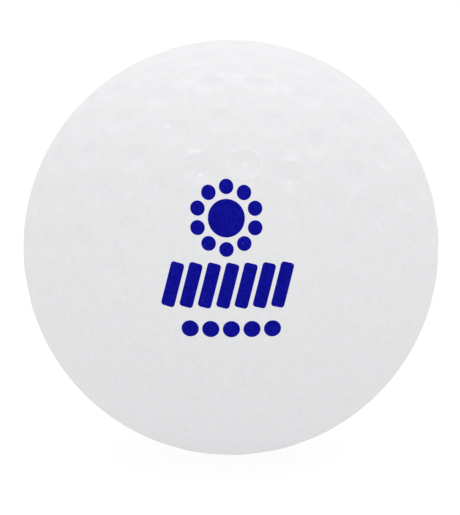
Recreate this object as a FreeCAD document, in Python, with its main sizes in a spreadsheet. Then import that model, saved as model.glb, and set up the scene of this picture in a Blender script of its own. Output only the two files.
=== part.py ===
# Field hockey ball, moulded in one solid piece.
# Rings of round dimples run about two opposite poles, and a smooth round patch is
# left at each pole. The front half is made first, and the back half mirrors it
# across the parting circle.
# Millimetres, +Z up, origin at the ball's centre. The front pole faces -Y, so the
# parting circle lies in the XZ plane.
import FreeCAD
import Part
import Sketcher
import math
import os

NODE = "ball"
WHOLE_TURN = 360
HALF_TURN = 180
CENTRE = FreeCAD.Vector(0, 0, 0)

# A sketch's own directions, and what it calls its centre point and vertical axis.
UP_SKETCH = FreeCAD.Vector(0, 1, 0)
OUT_OF_SKETCH = FreeCAD.Vector(0, 0, 1)
SKETCH_CENTRE = (-1, 1)
SKETCH_VERTICAL = -2

# Sizes of the ball and of every dimple: the width is across the rim, and the depth
# is from the round of the ball down to the bottom of the bowl.
SIZES = {
    "ball_diameter": 73.0,
    "dimple_width": 5.1,
    "dimple_depth": 0.4,
}

# Each ring's angle from the pole, the number of its dimples, and the turn of its
# first dimple round the pole, counted from +X towards +Z.
RINGS = {
    "first_ring": {"angle": 32.6, "count": 16, "turn": 17.4},
    "second_ring": {"angle": 45.5, "count": 20, "turn": 22.3},
    "third_ring": {"angle": 59.2, "count": 24, "turn": 22.2},
    "fourth_ring": {"angle": 73.4, "count": 28, "turn": 21.4},
    "fifth_ring": {"angle": 84.5, "count": 32, "turn": 21.4},
}


def make_sheet(doc):
    """The sheet of driving dimensions, with a name and a number on each row."""
    rows = dict(SIZES)
    for ring, values in RINGS.items():
        for name, value in values.items():
            rows[f"{ring}_{name}"] = value
    sheet = doc.addObject("Spreadsheet::Sheet", "sizes")
    for row, (name, value) in enumerate(rows.items(), start=1):
        sheet.set(f"A{row}", name)
        sheet.set(f"B{row}", str(value))
        sheet.setAlias(f"B{row}", name)
    doc.recompute()


def origin_part(body, role):
    """One of the body's own origin planes or axes, found by its role."""
    return next(part for part in body.Origin.OriginFeatures if part.Role == role)


def sketch_on_plane(body, role, name):
    """An empty sketch on one of the body's own origin planes."""
    sketch = body.newObject("Sketcher::SketchObject", name)
    sketch.AttachmentSupport = [(origin_part(body, role), "")]
    sketch.MapMode = "FlatFace"
    return sketch


def tie(sketch, name, constraint, expression):
    """Adds a dimension to the sketch, names it, and ties it to the sheet."""
    index = sketch.addConstraint(constraint)
    sketch.renameConstraint(index, name)
    sketch.setExpression(f"Constraints.{name}", expression)


def half_ball(body):
    """The front half before its dimples: a half disc, swung round the front from +X to -X."""
    radius = SIZES["ball_diameter"] / 2
    sketch = sketch_on_plane(body, "XZ_Plane", "ball_outline")
    circle = Part.Circle(CENTRE, OUT_OF_SKETCH, radius)
    arc = sketch.addGeometry(Part.ArcOfCircle(circle, -math.pi / 2, math.pi / 2))
    upright = sketch.addGeometry(Part.LineSegment(UP_SKETCH * radius, -UP_SKETCH * radius))
    sketch.addConstraint([
        Sketcher.Constraint("Coincident", arc, 3, *SKETCH_CENTRE),
        Sketcher.Constraint("Coincident", arc, 2, upright, 1),
        Sketcher.Constraint("Coincident", arc, 1, upright, 2),
        Sketcher.Constraint("PointOnObject", upright, 1, SKETCH_VERTICAL),
        Sketcher.Constraint("PointOnObject", upright, 2, SKETCH_VERTICAL),
    ])
    tie(sketch, "radius", Sketcher.Constraint("Radius", arc, radius), "sizes.ball_diameter / 2")

    half = body.newObject("PartDesign::Revolution", "half_ball")
    half.Profile = sketch
    half.ReferenceAxis = (sketch, ["V_Axis"])
    half.Angle = HALF_TURN
    half.Reversed = True
    return half


def dimple_sketch(body, ring):
    """Half of the round cutter that sinks the ring's first dimple.

    The sketch holds the poles' line, and is turned about it to where that dimple lies.
    One spoke from the ball's centre ends at the bottom of the bowl, and a second one
    ends on the rim. The cutter's circle passes through both ends, with its middle on
    the first spoke. Its outer half is drawn, closed by the line across it that it is
    then turned about.
    """
    radius = SIZES["ball_diameter"] / 2
    half_width = SIZES["dimple_width"] / 2
    bottom_height = radius - SIZES["dimple_depth"]
    rim_height = math.sqrt(radius**2 - half_width**2)
    bowl_depth = rim_height - bottom_height
    cutter_radius = (half_width**2 + bowl_depth**2) / (2 * bowl_depth)

    slope = math.radians(RINGS[ring]["angle"] - 90)
    outward = FreeCAD.Vector(math.cos(slope), math.sin(slope), 0)
    sideways = FreeCAD.Vector(-math.sin(slope), math.cos(slope), 0)
    bottom = outward * bottom_height
    rim = outward * rim_height + sideways * half_width
    middle = outward * (bottom_height + cutter_radius)
    reach = sideways * cutter_radius

    sketch = sketch_on_plane(body, "XY_Plane", f"{ring}_outline")
    turned = FreeCAD.Rotation(-UP_SKETCH, RINGS[ring]["turn"])
    sketch.AttachmentOffset = FreeCAD.Placement(CENTRE, turned)
    sketch.setExpression("AttachmentOffset.Rotation.Angle", f"sizes.{ring}_turn")

    circle = Part.Circle(middle, OUT_OF_SKETCH, cutter_radius)
    across = sketch.addGeometry(Part.LineSegment(middle + reach, middle - reach))
    arc = sketch.addGeometry(Part.ArcOfCircle(circle, slope - math.pi / 2, slope + math.pi / 2))
    spoke = sketch.addGeometry(Part.LineSegment(CENTRE, bottom), True)
    rim_spoke = sketch.addGeometry(Part.LineSegment(CENTRE, rim), True)
    sketch.addConstraint([
        Sketcher.Constraint("Coincident", spoke, 1, *SKETCH_CENTRE),
        Sketcher.Constraint("Coincident", rim_spoke, 1, *SKETCH_CENTRE),
        Sketcher.Constraint("Coincident", arc, 2, across, 1),
        Sketcher.Constraint("Coincident", arc, 1, across, 2),
        Sketcher.Constraint("PointOnObject", arc, 3, across),
        Sketcher.Constraint("PointOnObject", arc, 3, spoke),
        Sketcher.Constraint("Perpendicular", spoke, across),
        Sketcher.Constraint("PointOnObject", spoke, 2, arc),
        Sketcher.Constraint("PointOnObject", rim_spoke, 2, arc),
    ])
    tie(sketch, "ring_slope", Sketcher.Constraint("Angle", spoke, slope),
        f"sizes.{ring}_angle - 90")
    tie(sketch, "bottom_height", Sketcher.Constraint("Distance", spoke, bottom_height),
        "sizes.ball_diameter / 2 - sizes.dimple_depth")
    tie(sketch, "rim_radius", Sketcher.Constraint("Distance", rim_spoke, radius),
        "sizes.ball_diameter / 2")
    tie(sketch, "half_width", Sketcher.Constraint("Distance", rim_spoke, 2, spoke, half_width),
        "sizes.dimple_width / 2")
    return sketch


def ring_of_dimples(body, ring):
    """The ring's first dimple, sunk by the cutter and repeated round the front pole."""
    sketch = dimple_sketch(body, ring)
    dimple = body.newObject("PartDesign::Groove", f"{ring}_dimple")
    dimple.Profile = sketch
    dimple.ReferenceAxis = (sketch, ["Edge1"])
    dimple.Angle = WHOLE_TURN

    dimples = body.newObject("PartDesign::PolarPattern", f"{ring}_dimples")
    dimples.Originals = [dimple]
    dimples.Axis = (origin_part(body, "Y_Axis"), [""])
    dimples.Angle = WHOLE_TURN
    dimples.Occurrences = RINGS[ring]["count"]
    dimples.setExpression("Occurrences", f"sizes.{ring}_count")
    body.Tip = dimples
    return dimples


def both_halves(body):
    """The front half with its dimples, and its mirror image as the back half."""
    ball = body.newObject("PartDesign::Mirrored", "both_halves")
    ball.TransformMode = "Whole shape"
    ball.MirrorPlane = (origin_part(body, "XZ_Plane"), [""])
    ball.Refine = False
    body.Tip = ball
    return ball


def check_model(doc, body, half_steps, whole):
    """Stops if a step failed, a ring cut nothing, or the ball isn't one sound solid."""
    for item in doc.Objects:
        if {"Invalid", "Error"} & set(item.State):
            raise RuntimeError(f"{item.Name} failed: {item.State}")
    for before, after in zip(half_steps, half_steps[1:]):
        if after.Shape.Volume >= before.Shape.Volume:
            raise RuntimeError(f"{after.Name} cut nothing")
    if not math.isclose(whole.Shape.Volume, 2 * half_steps[-1].Shape.Volume, rel_tol=1e-6):
        raise RuntimeError("the back half doesn't match the front half")
    shape = body.Shape
    if shape.isNull() or not shape.isValid() or len(shape.Solids) != 1:
        raise RuntimeError(f"{body.Label} isn't one sound solid")


doc = FreeCAD.newDocument("field_hockey_ball")
make_sheet(doc)
body = doc.addObject("PartDesign::Body", NODE)
body.Label = NODE
half_steps = [half_ball(body)]
for ring in RINGS:
    half_steps.append(ring_of_dimples(body, ring))
doc.recompute()
whole = both_halves(body)
doc.recompute()
check_model(doc, body, half_steps, whole)

os.makedirs("parts", exist_ok=True)
body.Shape.exportStep(f"parts/{body.Label}.step")
print(f"{body.Label}: {body.Shape.Volume / 1000:.1f} cm3, {len(body.Shape.Faces)} faces")
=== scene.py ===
"""A white, dimpled field hockey ball on a plain white floor, lit as for a catalogue."""
import math

import bpy
from mathutils import Matrix, Vector


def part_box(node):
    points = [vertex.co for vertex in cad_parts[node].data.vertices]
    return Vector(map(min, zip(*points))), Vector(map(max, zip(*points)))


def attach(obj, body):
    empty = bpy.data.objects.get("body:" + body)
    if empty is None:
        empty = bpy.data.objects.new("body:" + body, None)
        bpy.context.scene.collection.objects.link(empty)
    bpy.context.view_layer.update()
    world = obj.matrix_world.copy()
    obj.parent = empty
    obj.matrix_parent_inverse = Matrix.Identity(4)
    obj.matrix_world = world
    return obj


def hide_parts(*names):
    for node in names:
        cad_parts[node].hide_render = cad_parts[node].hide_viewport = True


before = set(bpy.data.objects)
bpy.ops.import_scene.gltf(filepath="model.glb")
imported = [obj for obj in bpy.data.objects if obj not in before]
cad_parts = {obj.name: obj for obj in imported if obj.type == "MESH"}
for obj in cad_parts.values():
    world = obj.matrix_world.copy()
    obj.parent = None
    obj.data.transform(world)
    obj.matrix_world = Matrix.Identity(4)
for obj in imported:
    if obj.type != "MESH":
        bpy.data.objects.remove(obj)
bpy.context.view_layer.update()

# Ink lies half sunk in the skin, and its face stays inside the ball's own size.
INK_THICKNESS = 0.00004
LOWEST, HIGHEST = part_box("ball")
RADIUS = HIGHEST.y - INK_THICKNESS / 2
CENTRE = Vector((0, 0, 0))
TO_FRONT_POLE = Vector((0, -1, 0))

# The dimples, in metres. The bowl runs softly into the ball over a wide, rounded rim.
DIMPLE_WIDTH = 0.0051
DIMPLE_DEPTH = 0.0004
RIM_ROUND = 0.0026
DIMPLE_SIDES = 24
BOWL_STEPS = 3
RIM_STEPS = 6

# Each ring's angle from the pole, count, and turn of its first dimple from +X towards +Z.
RINGS = {
    "first_ring": (32.6, 16, 17.4),
    "second_ring": (45.5, 20, 22.3),
    "third_ring": (59.2, 24, 22.2),
    "fourth_ring": (73.4, 28, 21.4),
    "fifth_ring": (84.5, 32, 21.4),
}

# A ring's band of skin reaches this far past its dimples' middles, in degrees.
BAND_HALF = 5.2
LAND_STEPS = 2
PATCH_STEPS = 20

# Points closer than this, in metres, become one, and a point this close to a circle round
# the pole, in degrees, lies on it.
MERGE_DISTANCE = 0.000002
CIRCLE_SLACK = 0.02

# The fine groove that the two halves of the mould leave round the ball, in metres.
SEAM_HALF_WIDTH = 0.00012
SEAM_DEPTH = 0.00003

# The print on the smooth patch, in metres: a rosette, a row of slanted bars and a row of
# discs, one under the other. Each middle is to the right of the front pole and up from it.
ROSETTE_AT = (-0.0014, 0.0112)
ROSETTE_EYE = 0.003
ROSETTE_PETALS = 10
PETAL_RADIUS = 0.00118
PETAL_REACH = 0.0049
BARS_AT = (-0.0012, 0.0004)
BARS = 7
BAR_WIDTH = 0.0022
BAR_HEIGHT = 0.0075
BAR_STEP = 0.00297
BAR_CORNER = 0.0005
BAR_CORNER_STEPS = 4
BAR_LEAN = math.radians(14)
DISCS_AT = (-0.0006, -0.0069)
DISCS = 5
DISC_RADIUS = 0.0014
DISC_STEP = 0.00335
DISC_SIDES = 48
INK_CELL = 0.0009
INK_SMOOTH_UP_TO = math.radians(40)

# White plastic. Colours are the light that a surface sends back. Each noise is its grains
# to a metre and its fine layers, and each spread is the part of it that is used.
BALL_WHITE = (0.877, 0.879, 0.892, 1)
BALL_CLOUD = (0.823, 0.825, 0.839, 1)
CLOUD_NOISE = (950, 6)
CLOUD_SPREAD = (0.2, 0.8)
BALL_SPECK = (0.62, 0.62, 0.63, 1)
SPECK_AT = (376.5, 230.5)
SPECK_RADIUS = 0.00016
BALL_ROUGHNESS = (0.09, 0.15)
SMEAR_NOISE = (140, 3)
SMEAR_SPREAD = (0.2, 0.8)
PEBBLE_NOISE = (1100, 4)
PEBBLE_STRENGTH = 0.4
PEBBLE_HEIGHT = 0.00003

# The gloss is an even share of mirror, because the real ball's edge stays as grey as the
# rest, where a clear coat in a white room would brighten towards the edge.
BALL_SHINE = 0.0135

# Blue ink.
INK_BLUE = (0.001, 0.001, 0.23, 1)
INK_THIN = (0.006, 0.007, 0.36, 1)
INK_SHINE = 0.04
BLOTCH_NOISE = (1700, 5)
BLOTCH_SPREAD = (0.3, 0.75)
GRAIN_NOISE = (5200, 2)
PINHOLE_SPREAD = (0.76, 0.8)
INK_ROUGHNESS = (0.5, 0.7)
ROUGH_SPREAD = (0.3, 0.7)
GRAIN_STRENGTH = 0.3
GRAIN_HEIGHT = 0.00001

# Where the photo shows the ball, in pixels from the frame's upper left corner, and how
# many of its own radii off the camera stood.
PHOTO_WIDTH = 460
PHOTO_HEIGHT = 515
BALL_AT = (231.0, 247.34)
BALL_RADIUS_PX = 207.7
CAMERA_RADII = 12.0
FOCAL_PX = BALL_RADIUS_PX * math.sqrt(CAMERA_RADII**2 - 1)
CAMERA_RAISED = math.radians(10.5)
CAMERA_LEFT = math.radians(1.05)
SENSOR_MM = 36.0
NEAREST_SEEN = 0.01

# The room's soft light and the table's glow, in shares of white.
ROOM_LIGHT_LOW = 0.862
ROOM_LIGHT_HIGH = 0.88
ROOM_LIGHT_FRONT = 0.975
ROOM_LIGHT_BACK = 1.105
TABLE_WHITE = (0.25, 0.25, 0.25, 1)
TABLE_GLOW = 0.64
TABLE_GLOW_SEEN = 0.8
FLOOR_SIZE = 6

# Each lamp is placed so that a smooth ball would mirror it at this pixel of the photo.
# Sizes are in metres.
LAMP_DISTANCE = 0.6
LAMPS = {
    "overhead_strip": {"glint_at": (236.5, 77.5), "width": 0.5, "length": 0.075, "radiance": 3.2},
    "left_lamp": {"glint_at": (194.5, 151.5), "width": 0.05, "length": 0.05, "radiance": 13.0},
    "middle_lamp": {"glint_at": (246.5, 160.5), "width": 0.05, "length": 0.05, "radiance": 12.0},
    "right_lamp": {"glint_at": (290.5, 157.5), "width": 0.05, "length": 0.05, "radiance": 10.0},
    "high_right_lamp": {"glint_at": (315.5, 101.5), "width": 0.025, "length": 0.025, "radiance": 10.0},
}


# Places on the ball

def on_ball(polar, turn, radius=RADIUS):
    """The point at an angle from the front pole and a turn round it, both in degrees."""
    polar, turn = math.radians(polar), math.radians(turn)
    across = math.sin(polar) * radius
    return Vector((across * math.cos(turn), -math.cos(polar) * radius, across * math.sin(turn)))


def polar_angle(point):
    """A point's angle from the front pole, in degrees."""
    return math.degrees(point.angle(TO_FRONT_POLE))


# Selecting, editing and joining

def deselect_objects():
    bpy.ops.object.select_all(action="DESELECT")


def select_only(piece):
    """Makes this piece the one that is selected and active."""
    deselect_objects()
    piece.select_set(True)
    bpy.context.view_layer.objects.active = piece


def edit(piece, mode="VERT"):
    """Opens a piece in edit mode with nothing on it selected."""
    select_only(piece)
    bpy.ops.object.mode_set(mode="EDIT")
    bpy.ops.mesh.select_mode(type=mode)
    bpy.ops.mesh.select_all(action="DESELECT")


def finish_edit():
    bpy.ops.object.mode_set(mode="OBJECT")


def apply_modifier(piece, modifier):
    select_only(piece)
    bpy.ops.object.modifier_apply(modifier=modifier.name)


def apply_place(piece):
    """Moves a piece's place and turn into its mesh."""
    select_only(piece)
    bpy.ops.object.transform_apply(location=True, rotation=True, scale=True)


def own_copy(piece):
    """A copy of a piece, with its own mesh."""
    copy = piece.copy()
    copy.data = piece.data.copy()
    bpy.context.scene.collection.objects.link(copy)
    return copy


def join_as(name, pieces):
    """Joins pieces into the first of them, which takes this name."""
    whole = pieces[0]
    select_only(whole)
    for piece in pieces:
        piece.select_set(True)
    bpy.ops.object.join()
    whole.name = name
    return whole


# The dimpled skin

def dimple_profile():
    """Points from the land over the rim and down the bowl, and the height of its bottom.

    Each point is its distance from the dimple's axis and its height over the ball's
    centre. The rim is an arc that touches the ball from inside and the bowl from outside.
    """
    half_width = DIMPLE_WIDTH / 2
    bottom = RADIUS - DIMPLE_DEPTH
    bowl_depth = math.sqrt(RADIUS**2 - half_width**2) - bottom
    bowl_radius = (half_width**2 + bowl_depth**2) / (2 * bowl_depth)
    bowl_middle = bottom + bowl_radius

    rim_out = RADIUS - RIM_ROUND
    rim_angle = math.acos((rim_out**2 + bowl_middle**2 - (bowl_radius + RIM_ROUND) ** 2)
                          / (2 * rim_out * bowl_middle))
    rim_x = rim_out * math.sin(rim_angle)
    rim_z = rim_out * math.cos(rim_angle)
    bowl_angle = math.atan2(rim_x, bowl_middle - rim_z)

    points = []
    for step in range(RIM_STEPS + 1):
        lean = rim_angle - (rim_angle + bowl_angle) * step / RIM_STEPS
        points.append((rim_x + RIM_ROUND * math.sin(lean), rim_z + RIM_ROUND * math.cos(lean)))
    for step in range(1, BOWL_STEPS):
        lean = bowl_angle * (1 - step / BOWL_STEPS)
        points.append((bowl_radius * math.sin(lean), bowl_middle - bowl_radius * math.cos(lean)))
    return points, bottom


def model_dimple():
    """One round dimple with its rim, about +Z, from a circle extruded down to the bottom."""
    points, bottom = dimple_profile()
    radius, height = points[0]
    deselect_objects()
    bpy.ops.mesh.primitive_circle_add(vertices=DIMPLE_SIDES, radius=radius,
                                      location=(0, 0, height))
    dimple = bpy.context.object
    apply_place(dimple)
    edit(dimple)
    bpy.ops.mesh.select_all(action="SELECT")
    for next_radius, next_height in points[1:]:
        bpy.ops.mesh.extrude_edges_move()
        bpy.ops.transform.resize(value=(next_radius / radius,) * 3, center_override=(0, 0, height))
        bpy.ops.transform.translate(value=(0, 0, next_height - height))
        radius, height = next_radius, next_height
    bpy.ops.mesh.extrude_edges_move()
    bpy.ops.mesh.merge(type="CENTER")
    bpy.ops.transform.translate(value=(0, 0, bottom - height))
    finish_edit()
    return dimple


def square_point(across, up):
    """The point of a square's edge, from -1 to 1 each way, that lies in this direction."""
    reach = max(abs(across), abs(up))
    return across / reach, up / reach


def model_ring(dimple, name):
    """A closed band of skin with one ring of dimples, from one dimple and its land."""
    angle, count, turn = RINGS[name]
    cell = own_copy(dimple)
    cell.name = name
    outward = on_ball(angle, turn, 1)
    round_pole = on_ball(90, turn + 90, 1)
    to_pole = outward.cross(round_pole)
    cell.matrix_world = Matrix((round_pole, to_pole, outward)).transposed().to_4x4()
    apply_place(cell)

    edit(cell)
    bpy.ops.mesh.select_non_manifold()
    finish_edit()
    border = []
    for vertex in cell.data.vertices:
        if vertex.select:
            across, up = square_point(vertex.co.dot(round_pole), vertex.co.dot(to_pole))
            border.append(on_ball(angle - up * BAND_HALF, turn + across * 180 / count))
    for step in range(LAND_STEPS, 0, -1):
        bpy.ops.object.mode_set(mode="EDIT")
        bpy.ops.mesh.extrude_edges_move()
        finish_edit()
        edge = [vertex for vertex in cell.data.vertices if vertex.select]
        for vertex, goal in zip(edge, border):
            vertex.co = vertex.co.lerp(goal, 1 / step).normalized() * RADIUS

    deselect_objects()
    bpy.ops.object.empty_add(rotation=(0, math.tau / count, 0))
    next_place = bpy.context.object
    array = cell.modifiers.new("round the pole", "ARRAY")
    array.count = count
    array.use_relative_offset = False
    array.use_object_offset = True
    array.offset_object = next_place
    array.use_merge_vertices = True
    array.use_merge_vertices_cap = True
    array.merge_threshold = MERGE_DISTANCE
    bpy.context.view_layer.update()
    apply_modifier(cell, array)
    bpy.data.objects.remove(next_place)
    return cell


def select_circles(piece, *angles):
    """Selects the open edges that run round the front pole at these angles."""
    finish_edit()
    for vertex in piece.data.vertices:
        polar = polar_angle(vertex.co)
        vertex.select = any(abs(polar - angle) < CIRCLE_SLACK for angle in angles)
    for line in piece.data.edges:
        line.select = all(piece.data.vertices[end].select for end in line.vertices)
    for face in piece.data.polygons:
        face.select = False
    bpy.ops.object.mode_set(mode="EDIT")
    bpy.ops.mesh.select_mode(type="EDGE")


def extrude_circle(start, end, end_radius=RADIUS):
    """Carries the selected circle on to another angle from the pole."""
    before = on_ball(start, 0)
    after = on_ball(end, 0, end_radius)
    bpy.ops.mesh.extrude_edges_move()
    bpy.ops.transform.resize(value=(after.x / before.x,) * 3, center_override=(0, before.y, 0))
    bpy.ops.transform.translate(value=(0, after.y - before.y, 0))


def model_skin():
    """The ball's whole skin: rings of dimples, bridged, closed at the pole and mirrored."""
    dimple = model_dimple()
    skin = join_as("ball_skin", [model_ring(dimple, name) for name in RINGS])
    bpy.data.objects.remove(dimple)

    edit(skin, "EDGE")
    angles = [angle for angle, count, turn in RINGS.values()]
    for inner, outer in zip(angles, angles[1:]):
        select_circles(skin, inner + BAND_HALF, outer - BAND_HALF)
        bpy.ops.mesh.bridge_edge_loops()

    patch_edge = angles[0] - BAND_HALF
    select_circles(skin, patch_edge)
    for step in range(1, PATCH_STEPS):
        extrude_circle(patch_edge * (1 - (step - 1) / PATCH_STEPS),
                       patch_edge * (1 - step / PATCH_STEPS))
    bpy.ops.mesh.extrude_edges_move()
    bpy.ops.mesh.select_mode(type="VERT")
    bpy.ops.mesh.merge(type="CENTER")
    last = on_ball(patch_edge / PATCH_STEPS, 0)
    bpy.ops.transform.translate(value=(0, -RADIUS - last.y, 0))

    seam_start = 90 - math.degrees(SEAM_HALF_WIDTH / RADIUS)
    select_circles(skin, angles[-1] + BAND_HALF)
    extrude_circle(angles[-1] + BAND_HALF, seam_start)
    extrude_circle(seam_start, 90, RADIUS - SEAM_DEPTH)
    finish_edit()

    mirror = skin.modifiers.new("back half", "MIRROR")
    mirror.use_axis = (False, True, False)
    mirror.merge_threshold = MERGE_DISTANCE
    apply_modifier(skin, mirror)
    edit(skin)
    bpy.ops.mesh.select_all(action="SELECT")
    bpy.ops.mesh.remove_doubles(threshold=MERGE_DISTANCE)
    bpy.ops.mesh.normals_make_consistent(inside=False)
    finish_edit()
    bpy.ops.object.shade_smooth()
    return skin


# The print

def model_disc(radius):
    """A flat round of ink that faces -Y, from a circle extruded in to its middle."""
    deselect_objects()
    bpy.ops.mesh.primitive_circle_add(vertices=DISC_SIDES, radius=radius,
                                      rotation=(math.pi / 2, 0, 0))
    disc = bpy.context.object
    apply_place(disc)
    edit(disc)
    bpy.ops.mesh.select_all(action="SELECT")
    for ring in range(math.ceil(radius / INK_CELL), 1, -1):
        bpy.ops.mesh.extrude_edges_move()
        bpy.ops.transform.resize(value=((ring - 1) / ring,) * 3, center_override=CENTRE)
    bpy.ops.mesh.extrude_edges_move()
    bpy.ops.mesh.merge(type="CENTER")
    finish_edit()
    return disc


def model_bar():
    """A flat upright bar of ink that faces -Y, with its four corners rounded."""
    deselect_objects()
    bpy.ops.mesh.primitive_grid_add(x_subdivisions=math.ceil(BAR_WIDTH / INK_CELL),
                                    y_subdivisions=math.ceil(BAR_HEIGHT / INK_CELL),
                                    size=1, rotation=(math.pi / 2, 0, 0))
    bar = bpy.context.object
    apply_place(bar)
    edit(bar)
    bpy.ops.mesh.select_all(action="SELECT")
    bpy.ops.transform.resize(value=(BAR_WIDTH, 1, BAR_HEIGHT), center_override=CENTRE)
    bpy.ops.mesh.select_all(action="DESELECT")
    finish_edit()
    for vertex in bar.data.vertices:
        at_side = abs(vertex.co.x) > BAR_WIDTH / 2 - MERGE_DISTANCE
        at_end = abs(vertex.co.z) > BAR_HEIGHT / 2 - MERGE_DISTANCE
        vertex.select = at_side and at_end
    bpy.ops.object.mode_set(mode="EDIT")
    bpy.ops.mesh.bevel(affect="VERTICES", offset=BAR_CORNER, segments=BAR_CORNER_STEPS)
    finish_edit()
    return bar


def copy_at(piece, across, up, lean=0):
    """A copy of a flat shape, leant over to the right and moved."""
    copy = own_copy(piece)
    copy.matrix_world = Matrix.Translation((across, 0, up)) @ Matrix.Rotation(lean, 4, "Y")
    apply_place(copy)
    return copy


def print_on(skin, name, shapes):
    """Joins flat shapes to one layer of ink, and lays it on the ball from the front."""
    layer = join_as(name, shapes)
    layer.location.y = -2 * RADIUS
    apply_place(layer)

    laid = layer.modifiers.new("laid on the skin", "SHRINKWRAP")
    laid.target = skin
    laid.wrap_method = "PROJECT"
    laid.use_project_y = True
    laid.use_positive_direction = True
    laid.use_negative_direction = False
    apply_modifier(layer, laid)
    thick = layer.modifiers.new("thickness", "SOLIDIFY")
    thick.thickness = INK_THICKNESS
    thick.offset = 0
    apply_modifier(layer, thick)
    edit(layer)
    bpy.ops.mesh.select_all(action="SELECT")
    bpy.ops.mesh.normals_make_consistent(inside=False)
    finish_edit()
    bpy.ops.object.shade_smooth_by_angle(angle=INK_SMOOTH_UP_TO)
    return layer


def row_of(shape, count, step, middle, lean=0):
    """Copies of a flat shape side by side, with the middle of the row at this place."""
    across, up = middle
    row = [copy_at(shape, across + (number - (count - 1) / 2) * step, up, lean)
           for number in range(count)]
    bpy.data.objects.remove(shape)
    return row


def print_rosette(skin):
    """A round eye in a ring of small petals."""
    across, up = ROSETTE_AT
    eye = model_disc(ROSETTE_EYE)
    petal = model_disc(PETAL_RADIUS)
    shapes = [copy_at(eye, across, up)]
    for number in range(ROSETTE_PETALS):
        turn = math.tau * number / ROSETTE_PETALS
        shapes.append(copy_at(petal, across + PETAL_REACH * math.sin(turn),
                              up + PETAL_REACH * math.cos(turn)))
    bpy.data.objects.remove(eye)
    bpy.data.objects.remove(petal)
    return print_on(skin, "print_rosette", shapes)


def print_bars(skin):
    """A row of broad bars that all lean to the right."""
    return print_on(skin, "print_bars", row_of(model_bar(), BARS, BAR_STEP, BARS_AT, BAR_LEAN))


def print_discs(skin):
    """A row of small discs."""
    disc = model_disc(DISC_RADIUS)
    return print_on(skin, "print_discs", row_of(disc, DISCS, DISC_STEP, DISCS_AT))


# Finishes

def new_material(name):
    """A material, with its nodes, its links and its shader."""
    material = bpy.data.materials.new(name)
    material.use_nodes = True
    nodes, links = material.node_tree.nodes, material.node_tree.links
    return material, nodes, links, nodes["Principled BSDF"]


def noise_on(nodes, links, noise):
    """Noise through the solid, in the object's own place, by its grains and layers."""
    grains, layers = noise
    place = nodes.new("ShaderNodeTexCoord")
    texture = nodes.new("ShaderNodeTexNoise")
    texture.inputs["Scale"].default_value = grains
    texture.inputs["Detail"].default_value = layers
    links.new(place.outputs["Object"], texture.inputs["Vector"])
    return texture.outputs["Fac"]


def spread(nodes, links, value, limits, to_limits=(0, 1)):
    """Maps a value between two limits on to two others, with no overshoot."""
    remap = nodes.new("ShaderNodeMapRange")
    remap.inputs["From Min"].default_value = limits[0]
    remap.inputs["From Max"].default_value = limits[1]
    remap.inputs["To Min"].default_value = to_limits[0]
    remap.inputs["To Max"].default_value = to_limits[1]
    links.new(value, remap.inputs["Value"])
    return remap.outputs["Result"]


def blend_colours(nodes, links, share, first, second):
    """A colour between two, each given as a colour or as a link."""
    mix = nodes.new("ShaderNodeMix")
    mix.data_type = "RGBA"
    links.new(share, mix.inputs["Factor"])
    for socket, colour in (("A", first), ("B", second)):
        entry = next(item for item in mix.inputs if item.name == socket and item.type == "RGBA")
        if isinstance(colour, tuple):
            entry.default_value = colour
        else:
            links.new(colour, entry)
    return next(item for item in mix.outputs if item.type == "RGBA")


def raise_bumps(nodes, links, shader, height, strength, distance):
    """Makes the shader's surface rise and fall with a height, by up to this distance."""
    bump = nodes.new("ShaderNodeBump")
    bump.inputs["Strength"].default_value = strength
    bump.inputs["Distance"].default_value = distance
    links.new(height, bump.inputs["Height"])
    links.new(bump.outputs["Normal"], shader.inputs["Normal"])


def glossy_white():
    """White moulded plastic: faintly clouded, finely pebbled, with one small speck."""
    material, nodes, links, shader = new_material("white_skin")
    shader.inputs["Specular IOR Level"].default_value = 0
    shader.inputs["Metallic"].default_value = BALL_SHINE

    clouds = noise_on(nodes, links, CLOUD_NOISE)
    cloudy = spread(nodes, links, clouds, CLOUD_SPREAD)
    white = blend_colours(nodes, links, cloudy, BALL_WHITE, BALL_CLOUD)
    place = nodes.new("ShaderNodeTexCoord")
    apart = nodes.new("ShaderNodeVectorMath")
    apart.operation = "DISTANCE"
    apart.inputs[1].default_value = normal_seen_at(SPECK_AT) * RADIUS
    links.new(place.outputs["Object"], apart.inputs[0])
    speck = spread(nodes, links, apart.outputs["Value"], (SPECK_RADIUS / 2, SPECK_RADIUS), (1, 0))
    links.new(blend_colours(nodes, links, speck, white, BALL_SPECK), shader.inputs["Base Color"])

    smears = noise_on(nodes, links, SMEAR_NOISE)
    links.new(spread(nodes, links, smears, SMEAR_SPREAD, BALL_ROUGHNESS), shader.inputs["Roughness"])
    pebbles = noise_on(nodes, links, PEBBLE_NOISE)
    raise_bumps(nodes, links, shader, pebbles, PEBBLE_STRENGTH, PEBBLE_HEIGHT)
    return material


def blue_ink():
    """Dull blue printing ink, thicker in some places than in others, with pinholes."""
    material, nodes, links, shader = new_material("blue_print")
    shader.inputs["Specular IOR Level"].default_value = INK_SHINE

    blotches = noise_on(nodes, links, BLOTCH_NOISE)
    thin = spread(nodes, links, blotches, BLOTCH_SPREAD)
    ink = blend_colours(nodes, links, thin, INK_BLUE, INK_THIN)
    grains = noise_on(nodes, links, GRAIN_NOISE)
    pinhole = spread(nodes, links, grains, PINHOLE_SPREAD)
    links.new(blend_colours(nodes, links, pinhole, ink, BALL_WHITE), shader.inputs["Base Color"])
    links.new(spread(nodes, links, grains, ROUGH_SPREAD, INK_ROUGHNESS), shader.inputs["Roughness"])
    raise_bumps(nodes, links, shader, grains, GRAIN_STRENGTH, GRAIN_HEIGHT)
    return material


# The room, the table, the lamps and the camera

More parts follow.
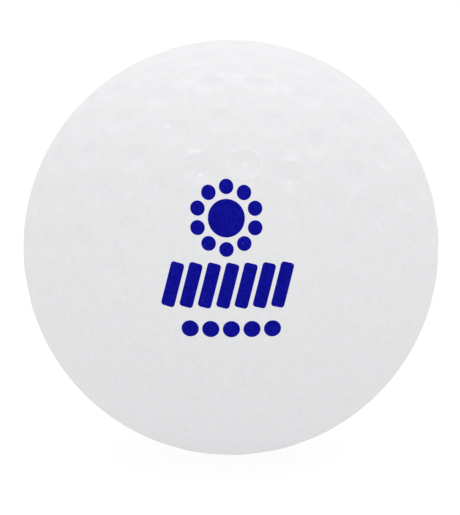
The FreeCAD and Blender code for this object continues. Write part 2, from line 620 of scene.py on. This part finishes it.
def combine(nodes, links, operation, first, second):
    """The result of one sum, such as MULTIPLY, on two links."""
    worked_out = nodes.new("ShaderNodeMath")
    worked_out.operation = operation
    links.new(first, worked_out.inputs[0])
    links.new(second, worked_out.inputs[1])
    return worked_out.outputs[0]


def seen_or_soft(nodes, links, seen, soft):
    """A strength for what the camera, a reflection or a clear surface sees, or for soft light.

    The soft strength is a number or a link.
    """
    path = nodes.new("ShaderNodeLightPath").outputs
    seen_straight = combine(nodes, links, "MAXIMUM", path["Is Camera Ray"], path["Is Glossy Ray"])
    seen_at_all = combine(nodes, links, "MAXIMUM", seen_straight, path["Is Transmission Ray"])
    strength = nodes.new("ShaderNodeMapRange")
    strength.inputs["To Max"].default_value = seen
    if isinstance(soft, (int, float)):
        strength.inputs["To Min"].default_value = soft
    else:
        links.new(soft, strength.inputs["To Min"])
    links.new(seen_at_all, strength.inputs["Value"])
    return strength.outputs["Result"]


def make_world():
    """A white room, seen as white, whose soft light is a little stronger above and behind."""
    world = bpy.data.worlds.new("white_room")
    bpy.context.scene.world = world
    world.use_nodes = True
    nodes, links = world.node_tree.nodes, world.node_tree.links
    background = nodes["Background"]
    background.inputs["Color"].default_value = (1, 1, 1, 1)
    place = nodes.new("ShaderNodeTexCoord")
    parts = nodes.new("ShaderNodeSeparateXYZ")
    links.new(place.outputs["Generated"], parts.inputs["Vector"])
    rise = spread(nodes, links, parts.outputs["Z"], (0, 1), (ROOM_LIGHT_LOW, ROOM_LIGHT_HIGH))
    depth = spread(nodes, links, parts.outputs["Y"], (-1, 1), (ROOM_LIGHT_FRONT, ROOM_LIGHT_BACK))
    soft = combine(nodes, links, "MULTIPLY", rise, depth)
    links.new(seen_or_soft(nodes, links, 1, soft), background.inputs["Strength"])


def make_floor():
    """A white table that glows a little, under the ball."""
    deselect_objects()
    bpy.ops.mesh.primitive_plane_add(size=FLOOR_SIZE, location=(0, 0, LOWEST.z))
    floor = bpy.context.object
    floor.name = "floor"
    material, nodes, links, shader = new_material("white_table")
    shader.inputs["Base Color"].default_value = TABLE_WHITE
    shader.inputs["Roughness"].default_value = 1
    shader.inputs["Specular IOR Level"].default_value = 0
    shader.inputs["Emission Color"].default_value = (1, 1, 1, 1)
    links.new(seen_or_soft(nodes, links, TABLE_GLOW_SEEN, TABLE_GLOW),
              shader.inputs["Emission Strength"])
    floor.data.materials.append(material)


def towards_camera():
    return Vector((-math.sin(CAMERA_LEFT),
                   -math.cos(CAMERA_LEFT) * math.cos(CAMERA_RAISED),
                   math.cos(CAMERA_LEFT) * math.sin(CAMERA_RAISED)))


def normal_seen_at(pixel):
    """Which way a smooth ball faces at the spot that the photo shows at this pixel."""
    ray = Vector((pixel[0] - BALL_AT[0], BALL_AT[1] - pixel[1], -FOCAL_PX)).normalized()
    back = CAMERA_RADII * ray.z
    reach = -back - math.sqrt(back**2 - CAMERA_RADII**2 + 1)
    spot = Vector((0, 0, CAMERA_RADII)) + ray * reach
    return (-towards_camera()).to_track_quat("-Z", "Y") @ spot


def make_lamp(name, glint_at, width, length, radiance):
    """A flat lamp that faces the ball, as bright as this anywhere on its face."""
    light = bpy.data.lights.new(name, "AREA")
    light.shape = "RECTANGLE"
    light.size = width
    light.size_y = length
    light.energy = radiance * math.pi * width * length
    lamp = bpy.data.objects.new(name, light)
    outward = normal_seen_at(glint_at)
    to_eye = (towards_camera() * CAMERA_RADII - outward).normalized()
    mirrored = outward * (2 * outward.dot(to_eye)) - to_eye
    lamp.location = outward * RADIUS + mirrored * LAMP_DISTANCE
    lamp.rotation_euler = (-mirrored).to_track_quat("-Z", "Y").to_euler()
    bpy.context.scene.collection.objects.link(lamp)


def make_camera():
    """Stands where the photo was taken, with the ball as large and as placed as there."""
    towards = towards_camera()
    distance = CAMERA_RADII * RADIUS
    place = CENTRE + towards * distance
    facing = (-towards).to_track_quat("-Z", "Y")
    metre_per_px = distance / FOCAL_PX
    off_right = (PHOTO_WIDTH / 2 - BALL_AT[0]) * metre_per_px
    off_up = (BALL_AT[1] - PHOTO_HEIGHT / 2) * metre_per_px
    aim = CENTRE + facing @ Vector((off_right, off_up, 0))

    data = bpy.data.cameras.new("camera")
    data.sensor_fit = "VERTICAL"
    data.sensor_height = SENSOR_MM
    data.lens = FOCAL_PX * SENSOR_MM / PHOTO_HEIGHT
    data.clip_start = NEAREST_SEEN
    camera = bpy.data.objects.new("camera", data)
    camera.location = place
    camera.rotation_euler = (aim - place).to_track_quat("-Z", "Y").to_euler()
    bpy.context.scene.collection.objects.link(camera)
    bpy.context.scene.camera = camera


skin = model_skin()
skin.data.materials.clear()
skin.data.materials.append(glossy_white())
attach(skin, "root")
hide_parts("ball")

ink = blue_ink()
for layer in (print_rosette(skin), print_bars(skin), print_discs(skin)):
    layer.data.materials.clear()
    layer.data.materials.append(ink)
    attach(layer, "root")

make_world()
make_floor()
for name, lamp in LAMPS.items():
    make_lamp(name, **lamp)
make_camera()
bpy.context.scene.view_settings.view_transform = "Standard"
